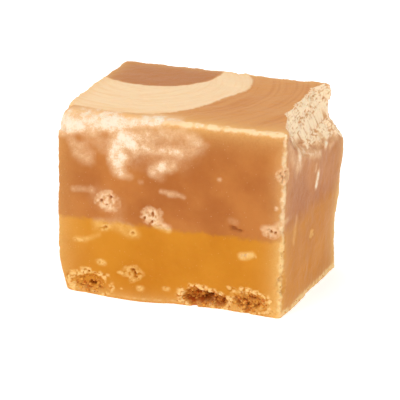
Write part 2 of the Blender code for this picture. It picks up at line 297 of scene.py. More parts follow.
# The bloom's outline is warped, and each stroke fades within its border
bloom = {
    "warp": 0.42,
    "warpSize": 1.1,
    "reachIn": 2.2,
    "border": (-0.55, 0.95),
}

# Strokes of dry sugar bloom on each face: the path's points along its two axes, radius and strength
bloomStrokes = {
    "front": (
        ((-15.4, 22.0, -11.3, 23.0, -8.4, 23.4), 1.15, 0.68),  # cream over the edge
        ((-8.4, 23.5, -5.2, 23.9, -2.6, 24.4), 0.8, 0.76), ((-2.6, 24.5, 0.2, 24.7), 0.5, 0.6),
        ((-15.4, 23.6, -8.4, 24.2), 1.2, 0.35),
        ((-7.2, 21.7, -6.3, 21.3), 1.15, 1.0),  # the brightest patch and its tail
        ((-8.6, 21.4, -7.6, 22.5), 1.0, 0.22), ((-8.2, 19.5, -8.0, 18.3, -7.7, 17.5), 1.1, 0.62),
        ((-7.6, 20.8, -7.4, 19.2), 1.2, 0.5), ((-11.6, 21.2, -9.2, 20.2), 1.3, 0.2),
        ((-10.4, 23.1, -8.9, 23.2), 0.9, 0.4), ((-6.4, 22.8, -3.9, 21.6), 1.2, 0.3),
        ((-3.0, 17.4, -2.0, 17.2), 0.7, 0.22), ((-7.2, 16.8, -6.1, 16.6), 0.5, 0.25),
        ((-2.9, 18.0, -1.9, 18.2), 0.85, 0.3), ((-1.8, 18.4, -0.9, 18.6), 0.95, 0.44),
        ((-5.4, 20.2, -3.7, 20.6, -2.1, 20.55, 0.5, 20.6), 0.7, 0.38),
        ((0.7, 20.6, 3.0, 21.7), 1.1, 0.28),
        ((-4.6, 22.6, -2.6, 22.8, 0.8, 23.1, 2.4, 22.6), 0.95, 0.3),
        ((-6.5, 20.3, 0.5, 21.2), 2.5, 0.2), ((-12.9, 19.4, -12.3, 18.7), 1.25, 0.36),
        ((-14.3, 20.6, -13.8, 20.6), 0.6, 0.25), ((-13.9, 14.1, -11.4, 14.25), 0.45, 0.26),
        ((-10.2, 13.4, -8.2, 12.5), 1.6, 0.12), ((-1.9, 15.15, -1.1, 15.15), 0.34, 0.3),
        ((-0.7, 15.0, 0.1, 15.0), 0.42, 0.42), ((0.7, 14.9, 1.3, 14.7), 0.32, 0.26),
        ((5.9, 17.7, 6.0, 17.7), 0.3, 0.3), ((-4.7, 16.1, -4.5, 16.1), 0.35, 0.2),
        ((7.5, 12.4, 8.2, 12.2), 0.5, 0.12), ((-2.3, 10.75, -0.8, 10.1), 0.55, 0.5),
        ((11.9, 11.9, 13.2, 12.2, 14.5, 12.9), 0.4, 0.35),
        ((-10.4, 9.7, -8.0, 9.9, -5.6, 9.1), 0.9, 0.3), ((-13.6, 7.2, -12.1, 7.4), 0.42, 0.28),
        ((-11.8, 7.6, -10.3, 8.3), 0.35, 0.2), ((12.4, 1.5, 13.9, 0.6), 0.8, 0.3),
        ((9.1, 7.8, 10.5, 8.2), 0.5, 0.65), ((-4.5, 1.85, -4.1, 1.85), 0.4, 0.5),
        ((-1.1, 2.05, -0.7, 2.0), 0.35, 0.4), ((-10.2, 4.6, -9.5, 4.5), 0.45, 0.3),
    ),
    "top": (
        ((-15.6, -11.2, -8.0, -11.2), 1.5, 0.45),
    ),
    "right": (
        ((-8.5, 19.0, 8.5, 19.0), 6.5, 0.1),  # a thin haze, then powder below the chip
        ((-10.4, 23.2, -8.8, 20.2), 0.9, 0.3), ((-7.0, 22.6, -6.1, 20.3), 0.8, 0.32),
        ((-5.2, 22.4, -5.4, 20.8, -6.6, 19.4), 1.6, 0.4), ((-5.0, 21.7, -2.6, 19.7), 1.0, 0.5),
        ((-1.5, 19.6, 1.2, 18.5), 0.9, 0.45), ((3.7, 18.7, 5.3, 19.4), 0.6, 0.8),
        ((6.0, 18.2, 8.6, 18.9), 0.7, 0.4), ((0.8, 15.9, 0.2, 14.3), 0.6, 0.8),
        ((-0.05, 17.2, -0.25, 16.6), 0.4, 0.45), ((-7.2, 12.0, -8.2, 9.3), 0.5, 0.3),
    ),
    "back": (
        ((-4.5, 20.6, -1.0, 19.4), 1.4, 0.75), ((-7.5, 21.2, 2.0, 20.4), 2.4, 0.18),
        ((3.0, 21.9, 6.5, 21.4), 1.1, 0.5), ((-10.6, 17.5, -10.2, 14.8), 1.3, 0.5),
        ((8.5, 8.2, 10.8, 7.8), 0.9, 0.3), ((-1.0, 12.6, 1.5, 12.2), 0.5, 0.3),
    ),
    "left": (
        ((-3.5, 20.8, 0.5, 20.2), 1.2, 0.75), ((-7.0, 20.6, 4.5, 19.6), 2.2, 0.18),
        ((5.6, 19.6, 5.2, 17.2), 1.3, 0.5), ((-6.6, 13.5, -6.2, 11.4), 0.9, 0.3),
        ((-11.0, 22.6, -4.0, 23.6), 1.1, 0.65),
    ),
}

# The cream on top lies between two arcs. The outer one's radius changes by (direction and spread in
# degrees, change).
swirl = {
    "outerCentre": (-9.5, 4.0),
    "outerRadius": 14.2,
    "outerChanges": ((-20.0, 20.0, -1.35), (-63.0, 16.0, 0.5)),
    "innerCentre": (-9.5, 10.0),
    "innerRadius": 8.5,
    "thickness": 0.65,  # how far the cream shows down the sides
    "proud": 0.04,  # how far it stands above the caramel
    "streakWidth": 0.75,
    "streakLength": 11.0,
    "streakHeight": 0.01,
    "wander": 0.14,
    "wanderSize": 2.5,
    "offTop": -9.0,  # the inner arc's mask away from the top
}

# Loose and half-buried crumbs: how many, their sizes, and how deep they sit
crumbs = {
    "chip": {"count": 150, "size": (0.2, 0.75), "sunk": 0.72, "seed": 5},
    "paleRim": {"count": 300, "size": (0.1, 0.32), "sunk": 0.55, "seed": 6},
    "foot": {"count": 420, "size": (0.2, 0.65), "sunk": 0.6, "seed": 7},
    "goldenRim": {"count": 220, "size": (0.1, 0.28), "sunk": 0.6, "seed": 8},
    "mostlySmall": 2.5,  # the higher, the fewer large ones
    "square": (0.1, 0.7),  # from a ball at 0 to a cube at 1
    "roughness": 0.1,
    "flatness": (0.55, 1.0),
    "clearance": 0.02,
    "chipFrom": (11.0, 17.5),  # the least x and z of the broken corner
    "footHeight": 4.2,
    "paleColors": ((0.76, 0.48, 0.25), (0.97, 0.76, 0.52)),
    "goldenColors": ((0.5, 0.12, 0.006), (0.82, 0.38, 0.06)),
}

# Colours are linear red, green and blue, for the golden and for the caramel layer
layerColors = {
    "dark": ((0.54, 0.185, 0.003), (0.4, 0.118, 0.018)),
    "light": ((0.6, 0.225, 0.008), (0.5, 0.172, 0.032)),
    # The glow colour is painted light: the edges look lit through the fudge
    "glow": ((0.93, 0.64, 0.25), (0.81, 0.45, 0.145)),
    "rim": ((0.9, 0.62, 0.27), (0.92, 0.69, 0.41)),
    # The colour deep in pits, pores and air holes is painted shade
    "hollowShade": ((0.46, 0.075, 0.004), (0.34, 0.09, 0.018)),
    "dust": ((0.88, 0.57, 0.23), (0.96, 0.74, 0.49)),
    "crack": ((0.57, 0.2, 0.015), (0.69, 0.37, 0.165)),
    "haze": ((0.85, 0.51, 0.15), (0.84, 0.54, 0.3)),
}
topLayer = {
    "body": (0.67, 0.3, 0.087),
    "streak": (0.6, 0.235, 0.06),
    "cream": (0.88, 0.62, 0.36),
    "creamShade": (0.84, 0.54, 0.28),
    "inner": (0.48, 0.186, 0.058),
}
bloomColor = (0.84, 0.73, 0.56)
finish = {
    "roughness": 0.5,
    "dryRoughness": 0.8,
    "grainHeight": 0.04,
    "crumbGrainHeight": 0.06,
    "fudge": {
        "Specular IOR Level": 0.17,
        "Subsurface Weight": 0.25,
        "Subsurface Radius": (1.0, 0.55, 0.3),
        "Subsurface Scale": 0.4 * mm,
    },
}

print(len(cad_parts), "nodes loaded; the layers meet at", round(block["middle"], 2), "mm")


# A number from 0 to 1 for each whole-number cell, the same on every run
def scatter(cell, seed):
    x, y, z = (cell[..., axis].astype(np.int64) for axis in range(3))
    mixed = (x * 73856093) ^ (y * 19349663) ^ (z * 83492791) ^ (seed * 39916801)
    mixed = ((mixed ^ (mixed >> 13)) * 1274126177) & 0xFFFFFFFF
    mixed = ((mixed ^ (mixed >> 15)) * 2246822519) & 0xFFFFFFFF
    return ((mixed ^ (mixed >> 16)) & 0xFFFFFF) / float(0xFFFFFF)


# The corners of a cube, each with its weight for points at a share of the way through it
def weightedCorners(share):
    for corner in np.ndindex(2, 2, 2):
        yield corner, np.prod(np.where(np.array(corner) == 1, share, 1 - share), axis=1)


# Smooth noise from -1 to 1: random values at whole-number corners, blended between them
def softNoise(points, seed):
    base = np.floor(points)
    part = points - base
    total = np.zeros(len(points))
    for corner, weight in weightedCorners(part * part * part * (part * (part * 6 - 15) + 10)):
        total += weight * scatter(base + corner, seed)
    return total * 2 - 1


# Soft noise at several scales, each half as large and strong as the one before
def cloudyNoise(points, seed, octaves=3):
    total = np.zeros(len(points))
    for octave in range(octaves):
        total += softNoise(points * 2.0**octave, seed + octave) * 0.5**octave
    return total / (2 - 0.5 ** (octaves - 1))


# Crumbs: one minus the distance to the nearest of the seeds, one in each cell
def crumbNoise(points, seed):
    base = np.floor(points)
    nearest = np.full(len(points), farAway)
    for neighbour in np.ndindex(3, 3, 3):
        cell = base + np.array(neighbour) - 1
        middle = cell + np.stack([scatter(cell, seed + axis) for axis in range(3)], axis=1)
        nearest = np.minimum(nearest, np.linalg.norm(points - middle, axis=1))
    return np.clip(1 - nearest, 0, 1)


# Round nodules: the crumbs' cones become domes, 1 less the distance squared
def noduleNoise(points, seed):
    away = (1 - crumbNoise(points, seed)) / 0.85
    return np.clip(1 - away * away, 0, 1)


# 0 at the start and 1 at the end, with level ends
def smoothStep(value, start, end):
    share = np.clip((value - start) / (end - start), 0, 1)
    return share * share * (3 - 2 * share)


# Places in the uneven block: the plain block plus each corner's shift, by its share
def atCorners(share):
    places = (share - (0.5, 0.5, 0.0)) * blockSize
    shift = np.array(block["cornerShift"])
    for corner, weight in weightedCorners(share):
        places = places + weight[:, None] * shift[corner]
    return places


# 1 on the soft part of the front top edge and 0 elsewhere, in the plain block
def edgeSoftness(flat):
    nearTop = flat[:, 2] > block["height"] - block["softEdgeReach"]
    atFrontTop = (flat[:, 1] < block["softEdgeReach"]) & nearTop
    return (1 - smoothStep(flat[:, 0] - block["length"] / 2, *block["softEdgeSpan"])) * atFrontTop


# The nearest place in a block smaller by the radius, except at the foot, and the direction from it
def awayFromCore(flat, radius):
    inner = np.minimum(np.maximum(flat, radius[:, None] * (1, 1, 0)), blockSize - radius[:, None])
    reach = flat - inner
    return inner, reach / np.maximum(np.linalg.norm(reach, axis=1, keepdims=True), 1e-9)


# The rounded block: each point is pulled in to a smaller block and pushed out again by the radius.
# Also the outward directions, and slower turning ones for the relief, so that no worn edge folds over.
def roundedSkin(share):
    flat = share * blockSize
    extra = block["softEdgeRounding"] - block["edgeRounding"]
    radius = block["edgeRounding"] + extra * edgeSoftness(flat)
    radius *= 1 + block["roundingChange"] * cloudyNoise(flat / block["roundingPatch"], 11)
    inner, outward = awayFromCore(flat, radius)
    _, moving = awayFromCore(flat, np.maximum(radius, block["turnReach"]))
    return atCorners((inner + outward * radius[:, None]) / blockSize), outward, moving


# 1 at the centre of an ellipsoid and 0 on its skin, going on below 0 outside, plus the jitter
def closeness(points, centre, reach, jitter):
    away = np.linalg.norm((points - centre) / reach, axis=1)
    return 1 - away + jitter * smoothStep(away, 0.0, 0.5)


# Distance to each edge, as the diagonal of the distances to its two faces
def edgeDistances(flat):
    length, depth, height = blockSize
    levels = {"left": (0, 0), "right": (0, length), "front": (1, 0), "back": (1, depth)}
    levels.update(foot=(2, block["footReach"]), top=(2, height))
    away = {face: np.abs(flat[:, axis] - level) for face, (axis, level) in levels.items()}
    return [np.hypot(away[first], away[second]) for first, second, *_ in edgeLooks]


# Pores at random on the left, back and right faces, as (centre, reach, depth)
def randomPores():
    rng = np.random.default_rng(pores["seed"])
    found = []
    for face, count in pores["counts"].items():
        axis, _, normal, level = faces[face]
        for _ in range(count):
            share = rng.uniform(*pores["spread"], 2)
            size = rng.uniform(*pores["reach"])
            depth = rng.uniform(*pores["depth"])
            centre = np.full(3, pores["margin"] + share[1] * (block["height"] - 2 * pores["margin"]))
            centre[axis], centre[normal] = (share[0] - 0.5) * blockSize[axis], level
            reach = np.full(3, size * 0.8)
            reach[axis], reach[normal] = size, pores["reachIn"]
            found.append((centre, reach, depth))
    return found


# How deep points lie in the cream: the least of the distances to the two arcs and to the level down
# to which it shows. Also how far they lie inside the inner arc.
def creamDepth(points):
    wander = swirl["wander"] * cloudyNoise(points / swirl["wanderSize"], 61, 4)
    away = points[:, :2] - swirl["outerCentre"]
    turn = np.degrees(np.arctan2(away[:, 1], away[:, 0]))
    radius = np.full(len(points), swirl["outerRadius"])
    for direction, spread, change in swirl["outerChanges"]:
        radius += change * np.exp(-(((turn - direction) / spread) ** 2))
    fromOuter = radius - np.linalg.norm(away, axis=1)
    fromInner = np.linalg.norm(points[:, :2] - swirl["innerCentre"], axis=1)
    pastInner = fromInner - swirl["innerRadius"] + wander
    showing = points[:, 2] - block["height"] + swirl["thickness"] * (1 + wander)
    return np.minimum(np.minimum(fromOuter + wander, pastInner), showing), -pastInner


# Noise drawn out along arcs round the outer centre, read at (radius, length of arc)
def arcStreaks(points):
    away = points[:, :2] - swirl["outerCentre"]
    radius = np.linalg.norm(away, axis=1) / swirl["streakWidth"]
    turn = np.arctan2(away[:, 1], away[:, 0]) * swirl["outerRadius"] / swirl["streakLength"]
    return cloudyNoise(np.stack([radius, turn, np.zeros(len(points))], axis=1), 91, 2)


# The relief is the sum of waves, swellings, hollows, crumbly spots, holes, ragged edges and cream.
# Returns how far the skin stands out, and the masks that the materials read.
def relief(points, flat, outward):
    # sink: depth in hollows, pores and air holes, which the materials paint as shade; glow: painted light
    # at the edges
    height, sink, dust, rims, glow, chipped = np.zeros((6, len(points)))
    for size, swell, seed, octaves in waves:
        height += swell * cloudyNoise(points / size, seed, octaves)
    for centre, reach, swell in swellings:
        near = (points - centre) / reach
        height += swell * np.exp(-np.sum(near * near, axis=1))
    tuck = 1 - np.clip(flat[:, 2] / block["footReach"], 0, 1)
    height -= block["footTuck"] * tuck * tuck

    fineJitter = hollowEdge["fineJitter"] * softNoise(points / hollowEdge["finePatch"], 53)
    jitter = hollowEdge["jitter"] * softNoise(points / hollowEdge["patch"], 51)
    ragged = jitter + 0.45 * fineJitter
    lumps = sum(share * noduleNoise(points / size, seed) for size, share, seed in hollowEdge["lumps"])
    grit = noduleNoise(points / hollowEdge["grit"], 25)
    crumbly = hollowEdge["gritHeight"] * (grit - 0.4)
    patchy = smoothStep(softNoise(points / hollowEdge["rimPatch"], 71), -1.0, 0.0)
    ledge = 0.35 + 0.65 * smoothStep(flat[:, 2], 0.1, block["footLedge"])
    for centre, reach, depth, lumpiness, dusty, dustyRim in hollows:
        near = closeness(points, centre, reach, ragged)
        inside = smoothStep(near, 0.0, 0.45)
        rim = smoothStep(near, -0.5, -0.1) * smoothStep(near, 0.32, 0.05) * patchy
        height -= inside * ledge * (depth - lumpiness * lumps)
        height += (inside + rim) * crumbly
        sink = np.maximum(sink, inside * depth * (1.2 - lumps))
        within = smoothStep(near, -0.3, 0.25) * dusty
        dust = np.maximum(dust, np.maximum(within, rim * dustyRim))
    for centre, reach, depth in crumbSpots["places"]:
        near = smoothStep(closeness(points, centre, reach, ragged * 1.6), -0.45, 0.5)
        height += near * (crumbly - depth)
        dust = np.maximum(dust, near * crumbSpots["dusty"])
    for centre, reach, depth in randomPores():
        near = closeness(points, centre, reach, ragged * 1.6)
        inside = smoothStep(near, 0.15, 0.6)
        height += smoothStep(near, -0.3, 0.2) * crumbly - inside * depth
        sink = np.maximum(sink, inside * depth * 2)
        dust = np.maximum(dust, smoothStep(near, -0.5, 0.3) * pores["dusty"])
    for centre, reach, depth in airHoles:
        inside = smoothStep(closeness(points, centre, reach, fineJitter), 0.0, 0.6)
        height -= depth * inside
        sink = np.maximum(sink, inside * (0.7 + depth))
        dust *= 1 - 0.8 * inside

    uneven = 0.5 + 0.5 * cloudyNoise(points / edgeWearAndGlow["patch"], 81, 4)
    gaps = 1.25 - 0.85 * np.clip(0.5 + 0.9 * softNoise(points / edgeWearAndGlow["gap"], 83), 0, 1)
    crisp = 1 - 0.9 * edgeSoftness(flat)
    # Painted shade on the glow: it is halved where the skin faces +X, the side that gets less light
    lit = 1 - 0.5 * smoothStep(outward[:, 0], 0.5, 0.95)
    for away, (_, _, rim, width, glowing, glowReach, rough) in zip(edgeDistances(flat), edgeLooks):
        chipped = np.maximum(chipped, rough * smoothStep(away, edgeWearAndGlow["chipReach"], 0.1))
        around = np.exp(-((away / (width * (0.4 + uneven * 1.2))) ** 2))
        rims = np.maximum(rims, rim * around * gaps * crisp)
        # Painted glow: edges lighter as if lit through the fudge, fading with distance from the edge
        faded = np.exp(-((away / glowReach) ** edgeWearAndGlow["glowFalloff"]))
        glow = np.maximum(glow, glowing * lit * faded)
    height -= chipped * (smoothStep(uneven, 0.25, 0.75) * (1.1 - lumps) + 0.4 * (0.7 - grit))

    cream, inner = creamDepth(points)
    onTop = outward[:, 2] > 0.3
    height += swirl["proud"] * smoothStep(cream, -0.12, 0.3) * onTop
    height += swirl["streakHeight"] * arcStreaks(points) * (outward[:, 2] > 0.9)
    inner = np.where(onTop, inner, swirl["offTop"])
    masks = {"sink": sink, "dust": dust, "rim": rims, "glow": glow, "crumb": grit}
    return height, {**masks, "cream": cream, "inner": inner}


# How far the points lie past a broken surface, the direction that leads back, and its crumbs, which
# are read where the point lands so that they stay whole
def beyondBreak(points, broken):
    depth = np.full(len(points), farAway)
    direction = np.zeros_like(points)
    for place, outward in broken["faces"]:
        normal = np.array(outward) / np.linalg.norm(outward)
        past = (points - place) @ normal
        direction = np.where((past < depth)[:, None], normal, direction)
        depth = np.minimum(depth, past)
    if "ends" in broken:
        first, last = broken["ends"]
        frontRate, backRate = broken["fade"]
        depth -= frontRate * np.maximum(first - points[:, 1], 0)
        depth -= backRate * np.maximum(points[:, 1] - last, 0)
    landing = points - direction * np.maximum(depth, 0)[:, None]
    look = breakRelief
    landing = landing * look["stretch"] / broken["crumb"]
    calm = softNoise(landing / 1.8, 47)
    lumps = look["lumpHeight"] * np.maximum(noduleNoise(landing * look["lumps"], 31) - 0.55, -0.3)
    lumps += look["cloudHeight"] * cloudyNoise(landing * look["clouds"], 43)
    fine = noduleNoise(landing * look["grains"], 45) - 0.55
    past = depth - broken["height"] * (lumps + look["grainHeight"] * (1 + 0.5 * calm) * fine)
    patches = look["patchTone"] * cloudyNoise(landing * look["patches"], 37)
    return past, direction, np.clip(0.62 + 0.5 * lumps + fine + patches, 0, 1)


# Distance to a path of straight stretches, in units of the reach along each axis
def pathDistance(points, path, reach):
    nearest = np.full(len(points), farAway)
    for start, end in zip(path[:-1], path[1:]):
        along = (end - start) / reach
        offset = (points - start) / reach
        share = np.clip(offset @ along / max(along @ along, 1e-9), 0, 1)
        nearest = np.minimum(nearest, np.linalg.norm(offset - share[:, None] * along, axis=1))
    return nearest


# How much bloom lies on a point: each stroke, with a warped soft outline, leaves less of it bare
def bloomOn(points):
    warp = bloom["warp"] * cloudyNoise(points / bloom["warpSize"], 101, 4)
    bare = np.ones(len(points))
    for face, strokes in bloomStrokes.items():
        first, second, normal, level = faces[face]
        for path, radius, strength in strokes:
            places = np.full((len(path) // 2, 3), level)
            places[:, first], places[:, second] = path[::2], path[1::2]
            reach = np.full(3, radius)
            reach[normal] = bloom["reachIn"]
            near = 1 - pathDistance(points, places, reach) + warp
            bare *= 1 - strength * smoothStep(near, *bloom["border"])
    return 1 - bare


# The skin: shares of the block's sides become the rounded block, the relief moves its points, and
# what lies past a break is pressed back on to it, softly at its border
def pieceSkin(share):
    points, outward, moving = roundedSkin(share)
    height, masks = relief(points, share * blockSize, outward)
    points = points + moving * height[:, None]
    masks["bloom"] = bloomOn(points)
    for broken in breaks.values():
        past, direction, lumps = beyondBreak(points, broken)
        share = np.clip(0.5 + 0.5 * past / broken["soft"], 0, 1)
        pressed = past * share + broken["soft"] * share * (1 - share)
        points = points - direction * pressed[:, None]
        onBreak = smoothStep(past, -0.08, 0.12) * broken["dusty"]
        if "dustDownTo" in broken:
            size, tall = breakRelief["dustWander"]
            fade = breakRelief["dustFade"]
            lowest = np.interp(points[:, 1], *zip(*broken["dustDownTo"]))
            lowest += tall * softNoise(points / size, 49)
            onBreak *= smoothStep(points[:, 2], lowest - fade, lowest + fade)
        masks["dust"] = np.maximum(masks["dust"], onBreak)
        masks["crumb"] += (lumps - masks["crumb"]) * onBreak
        masks["glow"] *= 1 - onBreak * 0.8
        masks["bloom"] *= 1 - onBreak
    points[:, 1] += block["setBack"]
    return np.clip(points, *room), masks


# Shares from 0 to 1 along a side whose steps follow cell sizes given at a few places
def stepShares(length, stops):
    fine = np.linspace(0, length, 4001)
    perMillimetre = 1 / np.interp(fine, *zip(*stops))
    between = (perMillimetre[1:] + perMillimetre[:-1]) / 2 * np.diff(fine)
    count = np.concatenate([[0.0], np.cumsum(between)])
    steps = round(count[-1])
    return np.interp(np.linspace(0, count[-1], steps + 1), count, fine) / length


# Height where the layers meet, as a share of the block, with a gentle wave
def middleShare(across):
    size, height = block["middleWave"]
    flat = np.column_stack([across * blockSize[:2], np.zeros(len(across))])
    return (block["middle"] + height * cloudyNoise(flat / size, 111)) / block["height"]


# The way round the block: for each column of the wall its grid indices (i, j)
def wayRound(lastX, lastY):
    east, north = np.arange(lastX), np.arange(lastY)
    i = np.concatenate([east, np.full(lastY, lastX), lastX - east, np.zeros(lastY, int)])
    j = np.concatenate([np.zeros(lastX, int), north, np.full(lastX, lastY), lastY - north])
    return i, j


# Quads between the neighbours in a grid of vertex indices
def gridQuads(index):
    corners = (index[:-1, :-1], index[1:, :-1], index[1:, 1:], index[:-1, 1:])
    return np.column_stack([corner.ravel() for corner in corners])


# Quads between two closed rings of vertex indices, wound to face outwards
def ringQuads(lower, upper):
    return np.column_stack([lower, np.roll(lower, -1), np.roll(upper, -1), upper])


# Closes a rim with rings drawn in towards its middle and a last point there. Their indices start
# at a given number, and the faces look up or down.
def closeRim(points, rim, start, upwards):
    middle = points[rim].mean(axis=0)
    rings = [middle + (points[rim] - middle) * scale for scale in cells["rings"]]
    index = [rim] + [start + len(rim) * k + np.arange(len(rim)) for k in range(len(rings))]
    quads = [ringQuads(*((a, b) if upwards else (b, a))) for a, b in zip(index, index[1:])]
    inner = index[-1] if upwards else index[-1][::-1]
    fan = np.column_stack([inner, np.roll(inner, -1), np.full(len(rim), start + len(rim) * len(rings))])
    return np.vstack(rings + [middle[None]]), np.vstack(quads), fan


def newObject(name, data):
    made = bpy.data.objects.new(name, data)
    bpy.context.scene.collection.objects.link(made)
    return made


# Puts points in millimetres, lots of faces and point masks into a mesh of a new object
def newPiece(name, points, lots, masks, material, sharpAngle=None):
    mesh = bpy.data.meshes.new(name)
    mesh.from_pydata((points * mm).tolist(), [], [face for lot in lots for face in lot.tolist()])
    mesh.validate()
    for maskName, values in masks.items():
        layer = mesh.attributes.new(maskName, "FLOAT", "POINT")
        layer.data.foreach_set("value", values.astype(np.float32))
    mesh.shade_smooth()
    if sharpAngle:
        mesh.set_sharp_from_angle(angle=sharpAngle)
    mesh.materials.append(material)
    return newObject(name, mesh)


# The wall of a layer is a grid of (height, way round). Rings close the golden layer at its foot and
# top, and rings below and a grid of the top face close the caramel layer.
def makeLayer(name, isTop, material):
    kind = "caramel" if isTop else "golden"
    alongX = stepShares(block["length"], cells[kind + "Along"])
    alongY = stepShares(block["depth"], cells[kind + "Deep"])
    i, j = wayRound(len(alongX) - 1, len(alongY) - 1)
    across = np.column_stack([alongX[i], alongY[j]])
    meeting = middleShare(across)
    low, high = (meeting, np.ones(len(i))) if isTop else (np.zeros(len(i)), meeting)
    tall = block["height"] - block["middle"] if isTop else block["middle"]
    rows = stepShares(tall, cells[kind + "Up"])
    up = low + (high - low) * rows[:, None]
    share = np.column_stack([np.tile(across, (len(rows), 1)), up.ravel()])
    wall = np.arange(len(share)).reshape(len(rows), len(i))
    quads = [ringQuads(below, above) for below, above in zip(wall[:-1], wall[1:])]
    if isTop:
        top = np.full((len(alongX), len(alongY)), -1)
        top[i, j] = wall[-1]
        x, y = np.nonzero(top < 0)
        top[x, y] = len(share) + np.arange(len(x))
        share = np.vstack([share, np.column_stack([alongX[x], alongY[y], np.ones(len(x))])])
        quads.append(gridQuads(top))
    points, masks = pieceSkin(share)
    for rim, upwards in [(wall[0], False)] + ([] if isTop else [(wall[-1], True)]):
        extra, rimQuads, fan = closeRim(points, rim, len(points), upwards)
        points = np.vstack([points, extra])
        quads += [rimQuads, fan]
        masks = {key: np.concatenate([mask, np.zeros(len(extra))]) for key, mask in masks.items()}
    piece = newPiece(name, points, quads, masks, material, block["sharpAngle"])
    print(name, "has", len(points), "points and", len(piece.data.polygons), "faces")
    return piece


# A ball from a cube cut in four on each side: its corners, edge middles and face middles
def crumbBall():
    steps = np.array(list(np.ndindex(3, 3, 3))) - 1
    onSkin = np.abs(steps).max(axis=1) == 1
    index = (np.cumsum(onSkin) - 1).reshape(3, 3, 3)
    quads = []
    for axis in range(3):
        for side in (0, 2):
            faceOut = (side > 0) == (axis != 1)
            quads.append(gridQuads(index.take(side, axis))[:, :: 1 if faceOut else -1])
    return steps[onSkin] / np.linalg.norm(steps[onSkin], axis=1, keepdims=True), np.vstack(quads)


# Reads a field of all items, as rows if it has several numbers
def readAll(items, field, width=1):
    values = np.empty(len(items) * width, np.float32)
    items.foreach_get(field, values)
    return values.reshape(-1, width).squeeze()


# Crumbs on a piece: uneven shapes between ball and cube, on points drawn by weight, sunk into it
def crumbsOn(piece, weigh, kind):
    rng = np.random.default_rng(kind["seed"])
    count = kind["count"]
    mesh = piece.data
    places = readAll(mesh.vertices, "co", 3) / mm
    normals = readAll(mesh.vertices, "normal", 3)
    masks = {key: readAll(mesh.attributes[key].data, "value") for key in ("sink", "dust", "rim", "crumb")}
    weights = weigh(places, masks)
    picked = rng.choice(len(places), count, replace=False, p=weights / weights.sum())
    small, large = kind["size"]
    size = small + (large - small) * rng.random(count) ** crumbs["mostlySmall"]
    ball, quads = crumbBall()
    boxy = ball / np.abs(ball).max(axis=1, keepdims=True)
    square = rng.uniform(*crumbs["square"], (count, 1, 1))
    shape = ball * (1 - square) + boxy * square * 0.8
    shape = shape * (1 + crumbs["roughness"] * rng.normal(size=(count, len(ball), 1)))
    shape = shape * rng.uniform(*crumbs["flatness"], (count, 1, 3)) * size[:, None, None] / 2
    turns = [mathutils.Quaternion(values).normalized() for values in rng.normal(size=(count, 4))]
    shape = np.einsum("nij,nkj->nki", np.array([turn.to_matrix() for turn in turns]), shape)
    middle = places[picked] + normals[picked] * (size * (0.5 - kind["sunk"]))[:, None]
    points = middle[:, None] + shape
    lowest, highest = (np.array(corner) / mm for corner in cadBox)
    points += np.maximum(lowest + crumbs["clearance"] - points.min(axis=1), 0)[:, None]
    points -= np.maximum(points.max(axis=1) - highest + crumbs["clearance"], 0)[:, None]
    quads = (quads + len(ball) * np.arange(count)[:, None, None]).reshape(-1, 4)
    return points.reshape(-1, 3), quads, np.repeat(rng.random(count), len(ball))


# Joins several lots of crumbs into one piece
def makeCrumbs(name, lots, material):
    points, quads, tones = zip(*lots)
    start = np.cumsum([0] + [len(lot) for lot in points])
    quads = np.vstack([lot + first for lot, first in zip(quads, start)])
    piece = newPiece(name, np.vstack(points), [quads], {"tone": np.concatenate(tones)}, material)
    print(name, "has", len(quads), "faces")
    return piece


# Fills inputs with values or links
def fill(inputs, values):
    for key, value in values.items():
        if isinstance(value, bpy.types.NodeSocket):
            value.id_data.links.new(value, inputs[key])
        else:
            inputs[key].default_value = value


# Adds a shader node, sets its fields and fills its inputs. The nodes stand in rows.
def addNode(tree, kind, inputs={}, **settings):
    node = tree.nodes.new("ShaderNode" + kind)
    count = len(tree.nodes)
    node.location = (200 * (count % 10), -260 * (count // 10))
    for field, value in settings.items():
        setattr(node, field, value)
    fill(node.inputs, inputs)
    return node


# Helpers that work in the tree of their first socket
def worked(operation, first, second=0.0, clamp=False):
    tree = (first if isinstance(first, bpy.types.NodeSocket) else second).id_data
    return addNode(tree, "Math", {0: first, 1: second}, operation=operation, use_clamp=clamp).outputs[0]


times, plus, minus = (partial(worked, kind) for kind in ("MULTIPLY", "ADD", "SUBTRACT"))


def mixed(share, first, second):
    first, second = ((*c, 1.0) if isinstance(c, tuple) else c for c in (first, second))
    inputs = {0: share, 6: first, 7: second}
    return addNode(share.id_data, "Mix", inputs, data_type="RGBA").outputs[2]


# A smooth step from low to high
def eased(value, low, high, start=0.0, end=1.0):
    inputs = {0: value, 1: low, 2: high, 3: start, 4: end}
    return addNode(value.id_data, "MapRange", inputs, interpolation_type="SMOOTHSTEP").outputs[0]


# Object coordinates in millimetres, measured from a centre
def millimetres(tree, centre=(0.0, 0.0, 0.0), stretch=(1.0, 1.0, 1.0)):
    place = addNode(tree, "TexCoord").outputs["Object"]
    scale = tuple(s / mm for s in stretch)
    location = tuple(-c * s for c, s in zip(centre, stretch))
    inputs = {"Vector": place, "Location": location, "Scale": scale}
    return addNode(tree, "Mapping", inputs).outputs[0]


def noise(place, perMillimetre, detail=2.0, roughness=0.5):
    inputs = {"Vector": place, "Scale": perMillimetre, "Detail": detail, "Roughness": roughness}
    return addNode(place.id_data, "TexNoise", inputs).outputs[0]


def axes(place):
    return addNode(place.id_data, "SeparateXYZ", {0: place}).outputs


def attribute(tree, name):
    return addNode(tree, "Attribute", attribute_name=name).outputs["Fac"]


